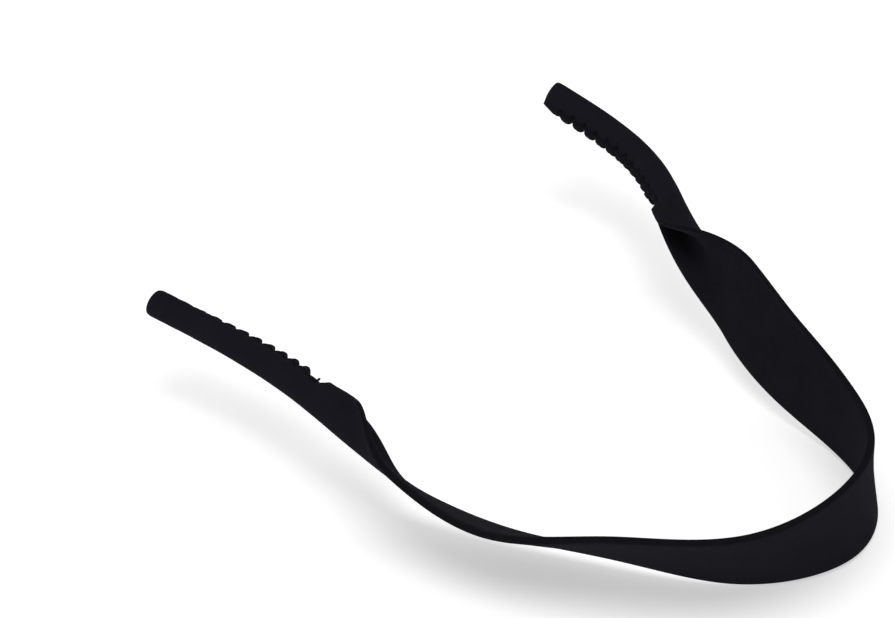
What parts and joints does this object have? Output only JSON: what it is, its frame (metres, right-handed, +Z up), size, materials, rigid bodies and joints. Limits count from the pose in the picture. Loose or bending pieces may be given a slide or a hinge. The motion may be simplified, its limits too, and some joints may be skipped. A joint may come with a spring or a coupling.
{
  "type": "eyeglass retainer strap",
  "caption": "Black neoprene eyewear retainer strap: overlocked tubular temple sleeves open into a wide flat nape band, draped as a loop with flex hinges along it.",
  "frame": {"origin": "middle of the footprint, at the height of the strap's lowest edge", "axes": "+Z up as the strap lies draped; +Y from the nape towards the sleeve mouths; +X from the left sleeve to the right one"},
  "size_m": [0.1538, 0.1748, 0.0373],
  "materials": {
    "outer_jersey": "matte black knit jersey, bonded to the foam",
    "inner_jersey": "matte black knit jersey lining, bonded to the foam",
    "foam_rubber": "closed-cell chloroprene foam, seen only at the cut edge",
    "seam_thread": "black overlock sewing thread"
  },
  "bodies": {
    "nape_band": {"nape_band_foam_core": "foam_rubber", "nape_band_outer_jersey": "outer_jersey", "nape_band_inner_jersey": "inner_jersey"},
    "left_band": {"left_band_foam_core": "foam_rubber", "left_band_outer_jersey": "outer_jersey", "left_band_inner_jersey": "inner_jersey"},
    "left_neck": {"left_neck_foam_core": "foam_rubber", "left_neck_outer_jersey": "outer_jersey", "left_neck_inner_jersey": "inner_jersey"},
    "left_sleeve": {"left_sleeve_foam_core": "foam_rubber", "left_sleeve_outer_jersey": "outer_jersey", "left_sleeve_inner_jersey": "inner_jersey", "left_seam_thread": "seam_thread"},
    "right_band": {"right_band_foam_core": "foam_rubber", "right_band_outer_jersey": "outer_jersey", "right_band_inner_jersey": "inner_jersey"},
    "right_neck": {"right_neck_foam_core": "foam_rubber", "right_neck_outer_jersey": "outer_jersey", "right_neck_inner_jersey": "inner_jersey"},
    "right_sleeve": {"right_sleeve_foam_core": "foam_rubber", "right_sleeve_outer_jersey": "outer_jersey", "right_sleeve_inner_jersey": "inner_jersey", "right_seam_thread": "seam_thread"}
  },
  "joints": [
    {"name": "left_nape_flex", "type": "hinge", "parent": "nape_band", "child": "left_band", "pos_m": [-0.03802, -0.0705, 0.01379], "axis": [-0.4188, -0.4092, 0.8107], "range_deg": [-12, 50], "stiffness_Nm_per_rad": 0.002},
    {"name": "left_neck_twist", "type": "hinge", "parent": "left_band", "child": "left_neck", "pos_m": [-0.05859, -0.03647, 0.01231], "axis": [-0.4143, 0.9053, -0.0941], "range_deg": [-45, 45], "stiffness_Nm_per_rad": 0.002},
    {"name": "left_sleeve_flex", "type": "hinge", "parent": "left_neck", "child": "left_sleeve", "pos_m": [-0.06701, -0.0121, 0.01376], "axis": [-0.7264, -0.3005, 0.6181], "range_deg": [-25, 45], "stiffness_Nm_per_rad": 0.002},
    {"name": "right_nape_flex", "type": "hinge", "parent": "nape_band", "child": "right_band", "pos_m": [0.01463, -0.07203, 0.01502], "axis": [0.0927, -0.1489, -0.9845], "range_deg": [-12, 50], "stiffness_Nm_per_rad": 0.002},
    {"name": "right_neck_twist", "type": "hinge", "parent": "right_band", "child": "right_neck", "pos_m": [0.03097, -0.03622, 0.01756], "axis": [0.2935, 0.9482, 0.1219], "range_deg": [-45, 45], "stiffness_Nm_per_rad": 0.002},
    {"name": "right_sleeve_flex", "type": "hinge", "parent": "right_neck", "child": "right_sleeve", "pos_m": [0.0409, -0.01243, 0.02068], "axis": [-0.088, 0.1864, -0.9785], "range_deg": [-25, 45], "stiffness_Nm_per_rad": 0.002}
  ]
}
